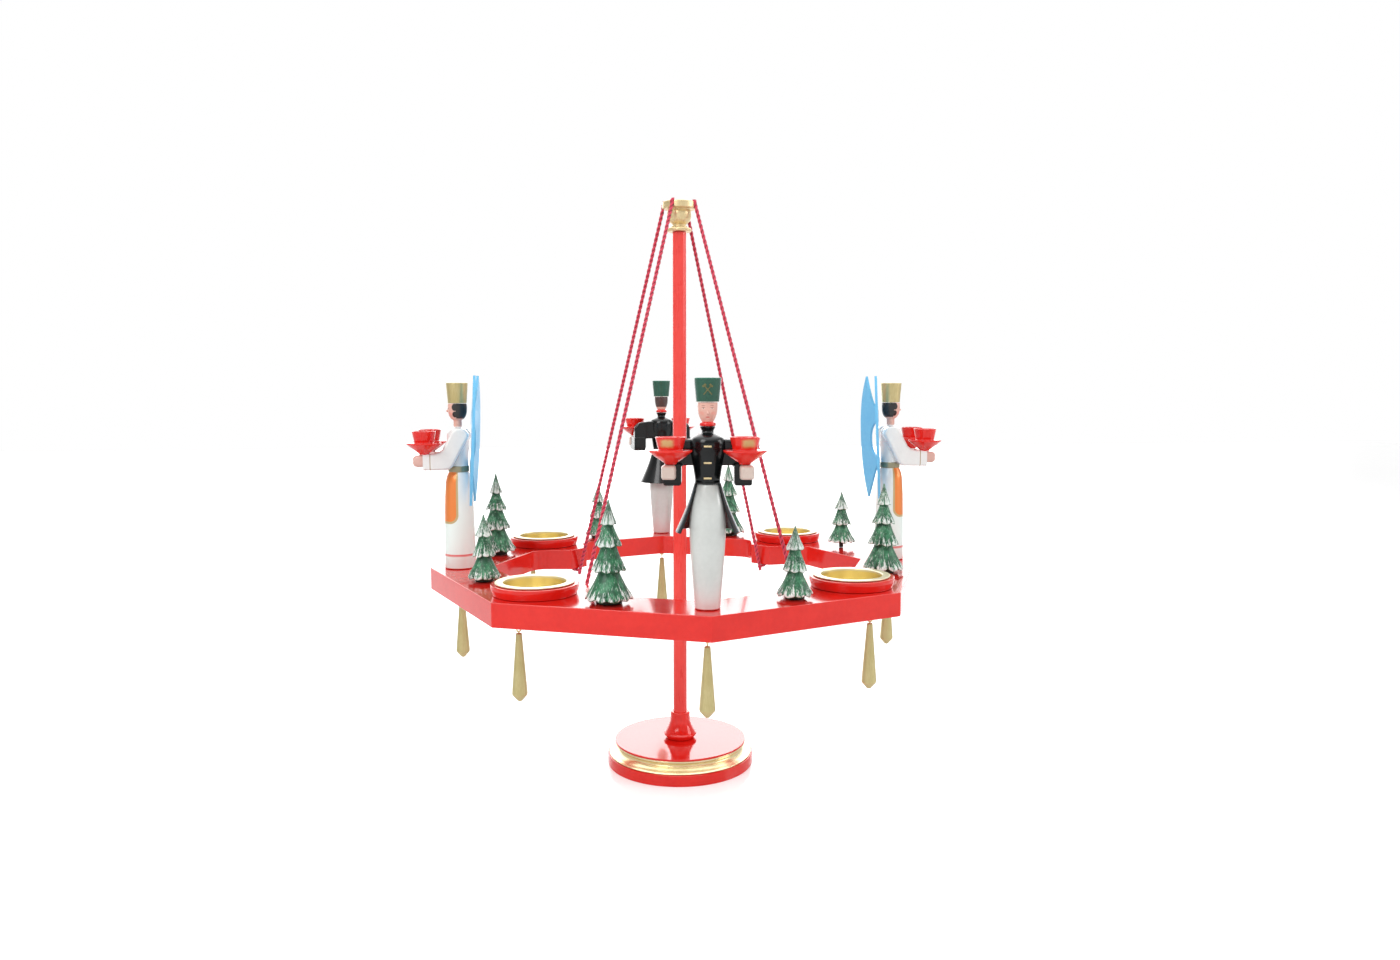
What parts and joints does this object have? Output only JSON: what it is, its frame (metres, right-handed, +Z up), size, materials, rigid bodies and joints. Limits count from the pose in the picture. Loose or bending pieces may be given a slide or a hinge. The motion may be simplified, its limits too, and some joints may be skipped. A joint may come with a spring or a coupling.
{
  "type": "candle holder",
  "caption": "Advent candle holder: an octagonal ring with painted figures, fir trees and tealight cups hangs by cords from the finial of a pole on a round base.",
  "frame": {"origin": "middle of the base's underside, on the surface the holder stands on", "axes": "+Z up along the pole; -Y towards the front miner; +X to the right as seen from the front"},
  "size_m": [0.3896, 0.3828, 0.4163],
  "materials": {
    "red_lacquer": "glossy red lacquer",
    "gilt": "pale gold paint",
    "brass": "bright brass",
    "red_cord": "twisted cord",
    "black_lacquer": "glossy black lacquer",
    "white_paint": "glossy white lacquer",
    "green_paint": "green lacquer, with a painted face",
    "fir_green": "green stain with white tips",
    "wing_blue": "glossy blue lacquer"
  },
  "bodies": {
    "stand": {"base": "red_lacquer", "pole": "red_lacquer"},
    "hanging_ring": {"back_miner_head": "green_paint", "back_miner_jacket": "black_lacquer", "back_miner_left_arm": "black_lacquer", "back_miner_left_candle_cup": "red_lacquer", "back_miner_right_arm": "black_lacquer", "back_miner_right_candle_cup": "red_lacquer", "back_miner_trousers": "white_paint", "cord_back_left": "red_cord", "cord_back_right": "red_cord", "cord_front_left": "red_cord", "cord_front_right": "red_cord", "finial": "gilt", "fir_tree_1": "fir_green", "fir_tree_2": "fir_green", "fir_tree_3": "fir_green", "fir_tree_4": "fir_green", "fir_tree_5": "fir_green", "fir_tree_6": "fir_green", "fir_tree_7": "fir_green", "fir_tree_8": "fir_green", "front_miner_head": "green_paint", "front_miner_jacket": "black_lacquer", "front_miner_left_arm": "black_lacquer", "front_miner_left_candle_cup": "red_lacquer", "front_miner_right_arm": "black_lacquer", "front_miner_right_candle_cup": "red_lacquer", "front_miner_trousers": "white_paint", "left_angel_head": "gilt", "left_angel_left_arm": "white_paint", "left_angel_left_candle_cup": "red_lacquer", "left_angel_right_arm": "white_paint", "left_angel_right_candle_cup": "red_lacquer", "left_angel_robe": "white_paint", "left_angel_wings": "wing_blue", "octagon_ring": "red_lacquer", "right_angel_head": "gilt", "right_angel_left_arm": "white_paint", "right_angel_left_candle_cup": "red_lacquer", "right_angel_right_arm": "white_paint", "right_angel_right_candle_cup": "red_lacquer", "right_angel_robe": "white_paint", "right_angel_wings": "wing_blue", "tealight_cup_back_left": "red_lacquer", "tealight_cup_back_right": "red_lacquer", "tealight_cup_front_left": "red_lacquer", "tealight_cup_front_right": "red_lacquer"},
    "insert_front_right": {"tealight_insert_front_right": "brass"},
    "insert_back_right": {"tealight_insert_back_right": "brass"},
    "insert_back_left": {"tealight_insert_back_left": "brass"},
    "insert_front_left": {"tealight_insert_front_left": "brass"},
    "drop_1": {"hanging_drop_1": "gilt"},
    "drop_2": {"hanging_drop_2": "gilt"},
    "drop_3": {"hanging_drop_3": "gilt"},
    "drop_4": {"hanging_drop_4": "gilt"},
    "drop_5": {"hanging_drop_5": "gilt"},
    "drop_6": {"hanging_drop_6": "gilt"},
    "drop_7": {"hanging_drop_7": "gilt"},
    "drop_8": {"hanging_drop_8": "gilt"}
  },
  "joints": [
    {"name": "ring_turn", "type": "hinge", "parent": "stand", "child": "hanging_ring", "pos_m": [0, 0, 0.3942], "axis": [0, 0, 1], "continuous": true},
    {"name": "insert_lift_front_right", "type": "slide", "parent": "hanging_ring", "child": "insert_front_right", "axis": [0, 0, 1], "range_m": [0, 0.025]},
    {"name": "insert_lift_back_right", "type": "slide", "parent": "hanging_ring", "child": "insert_back_right", "axis": [0, 0, 1], "range_m": [0, 0.025]},
    {"name": "insert_lift_back_left", "type": "slide", "parent": "hanging_ring", "child": "insert_back_left", "axis": [0, 0, 1], "range_m": [0, 0.025]},
    {"name": "insert_lift_front_left", "type": "slide", "parent": "hanging_ring", "child": "insert_front_left", "axis": [0, 0, 1], "range_m": [0, 0.025]},
    {"name": "drop_swing_1", "type": "hinge", "parent": "hanging_ring", "child": "drop_1", "pos_m": [0, -0.16, 0.1318], "axis": [1, 0, 0], "range_deg": [-45, 45]},
    {"name": "drop_swing_2", "type": "hinge", "parent": "hanging_ring", "child": "drop_2", "pos_m": [0.11314, -0.11314, 0.1318], "axis": [0.7071, 0.7071, 0], "range_deg": [-45, 45]},
    {"name": "drop_swing_3", "type": "hinge", "parent": "hanging_ring", "child": "drop_3", "pos_m": [0.16, 0, 0.1318], "axis": [0, 1, 0], "range_deg": [-45, 45]},
    {"name": "drop_swing_4", "type": "hinge", "parent": "hanging_ring", "child": "drop_4", "pos_m": [0.11314, 0.11314, 0.1318], "axis": [-0.7071, 0.7071, 0], "range_deg": [-45, 45]},
    {"name": "drop_swing_5", "type": "hinge", "parent": "hanging_ring", "child": "drop_5", "pos_m": [0, 0.16, 0.1318], "axis": [-1, 0, 0], "range_deg": [-45, 45]},
    {"name": "drop_swing_6", "type": "hinge", "parent": "hanging_ring", "child": "drop_6", "pos_m": [-0.11314, 0.11314, 0.1318], "axis": [-0.7071, -0.7071, 0], "range_deg": [-45, 45]},
    {"name": "drop_swing_7", "type": "hinge", "parent": "hanging_ring", "child": "drop_7", "pos_m": [-0.16, 0, 0.1318], "axis": [0, -1, 0], "range_deg": [-45, 45]},
    {"name": "drop_swing_8", "type": "hinge", "parent": "hanging_ring", "child": "drop_8", "pos_m": [-0.11314, -0.11314, 0.1318], "axis": [0.7071, -0.7071, 0], "range_deg": [-45, 45]}
  ]
}
